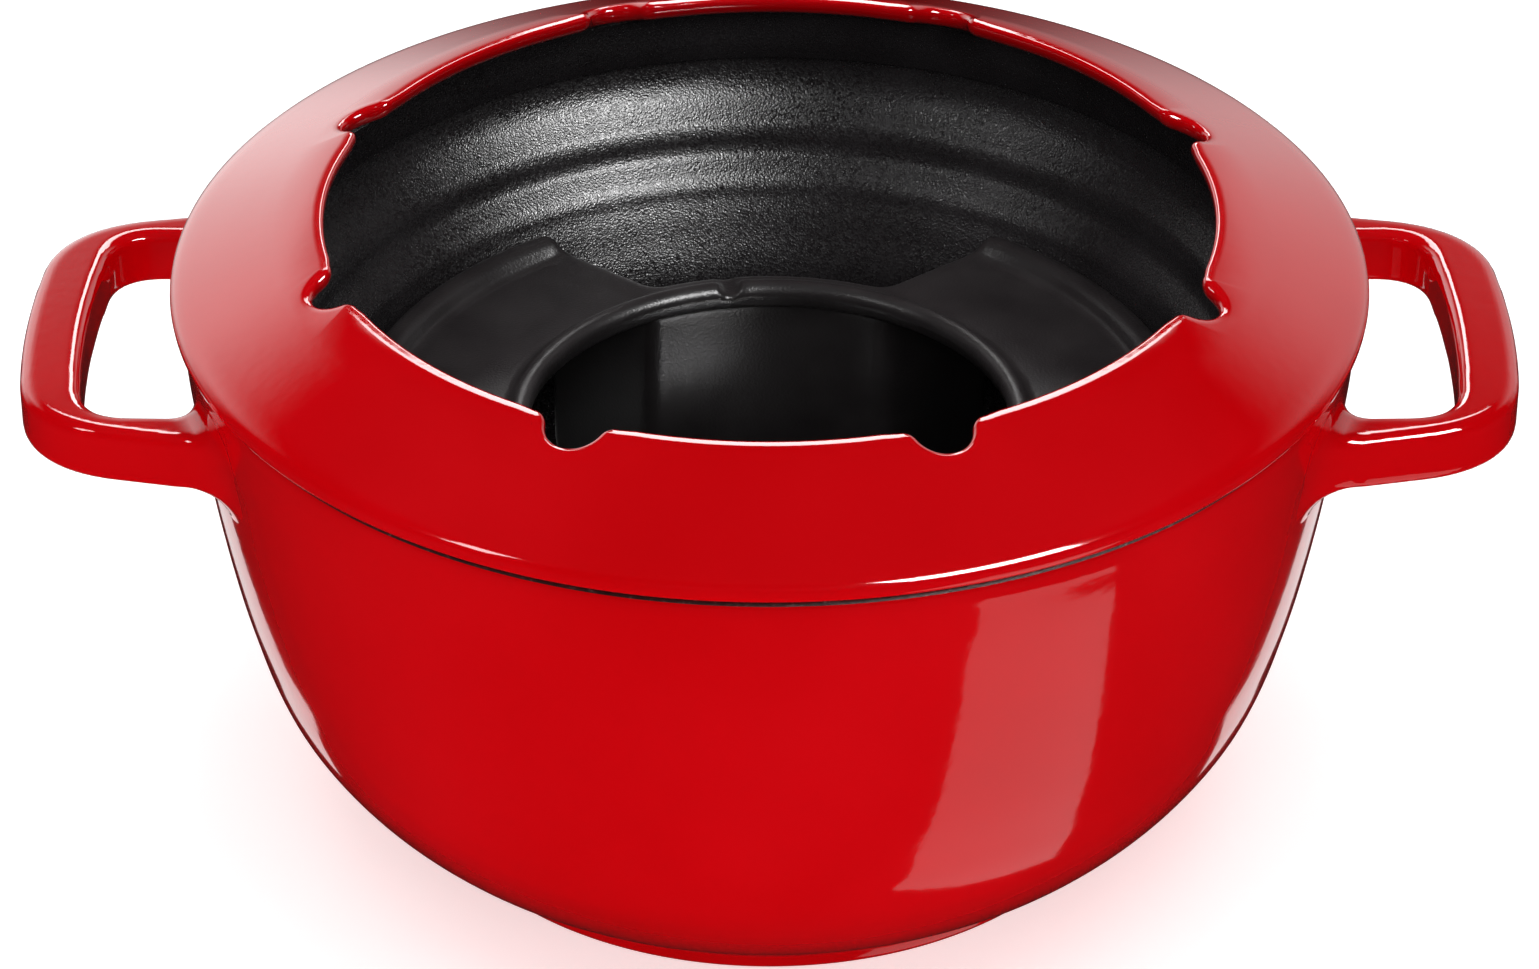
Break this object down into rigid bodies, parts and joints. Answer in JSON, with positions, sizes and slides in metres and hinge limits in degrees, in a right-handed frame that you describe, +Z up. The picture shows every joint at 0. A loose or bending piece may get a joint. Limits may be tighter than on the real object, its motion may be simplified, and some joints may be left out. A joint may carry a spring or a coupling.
{
  "type": "fondue pot set",
  "caption": "Enamelled cast pot with two loop handles, a notched fork ring on its rim, and a three-armed burner stand with a burner stored inside.",
  "frame": {"origin": "centre of the bounding box at its underside, which is on the pot's axis at the underside of the foot", "axes": "+X from handle to handle, +Y away from the viewer, +Z up along the pot's axis"},
  "size_m": [0.268, 0.214, 0.12],
  "materials": {
    "red_enamel": "glossy red enamel outside, speckled black enamel inside",
    "ring_enamel": "glossy red enamel",
    "black_iron": "satin black",
    "steel_sheet": "pressed sheet",
    "steel_bright": "bright",
    "steel_bowl": "spun",
    "steel_cup": "plain",
    "wadding": "rough",
    "gauze_wire": "woven",
    "steel_top": "brushed",
    "steel_disc": "brushed",
    "black_grip": "satin",
    "steel_lid": "spun"
  },
  "bodies": {
    "pot": {"pot": "red_enamel"},
    "fork_ring": {"fork_ring": "ring_enamel"},
    "stand": {"stand": "black_iron", "burner_tray": "steel_sheet", "tray_screws": "steel_bright"},
    "burner": {"burner_bowl": "steel_bowl", "fuel_cup": "steel_cup", "wadding": "wadding", "gauze": "gauze_wire", "gauze_ring": "steel_bright", "burner_top": "steel_top"},
    "regulator": {"regulator_disc": "steel_disc", "regulator_arm": "steel_sheet", "arm_rivets": "steel_bright", "regulator_grip": "black_grip"},
    "snuffer": {"snuffer_lid": "steel_lid", "snuffer_screw": "steel_bright", "snuffer_knob": "black_grip"}
  },
  "joints": [
    {"name": "ring_lift", "type": "slide", "parent": "pot", "child": "fork_ring", "axis": [0, 0, 1], "range_m": [0, 0.09]},
    {"name": "stand_lift", "type": "slide", "parent": "pot", "child": "stand", "axis": [0, 0, 1], "range_m": [0, 0.14]},
    {"name": "burner_lift", "type": "slide", "parent": "stand", "child": "burner", "axis": [0, 0, 1], "range_m": [0, 0.09]},
    {"name": "regulator_turn", "type": "hinge", "parent": "burner", "child": "regulator", "pos_m": [0, 0, 0.0426], "axis": [0, 0, 1], "range_deg": [0, 15]},
    {"name": "snuffer_lift", "type": "slide", "parent": "burner", "child": "snuffer", "axis": [0, 0, 1], "range_m": [0, 0.04]}
  ]
}
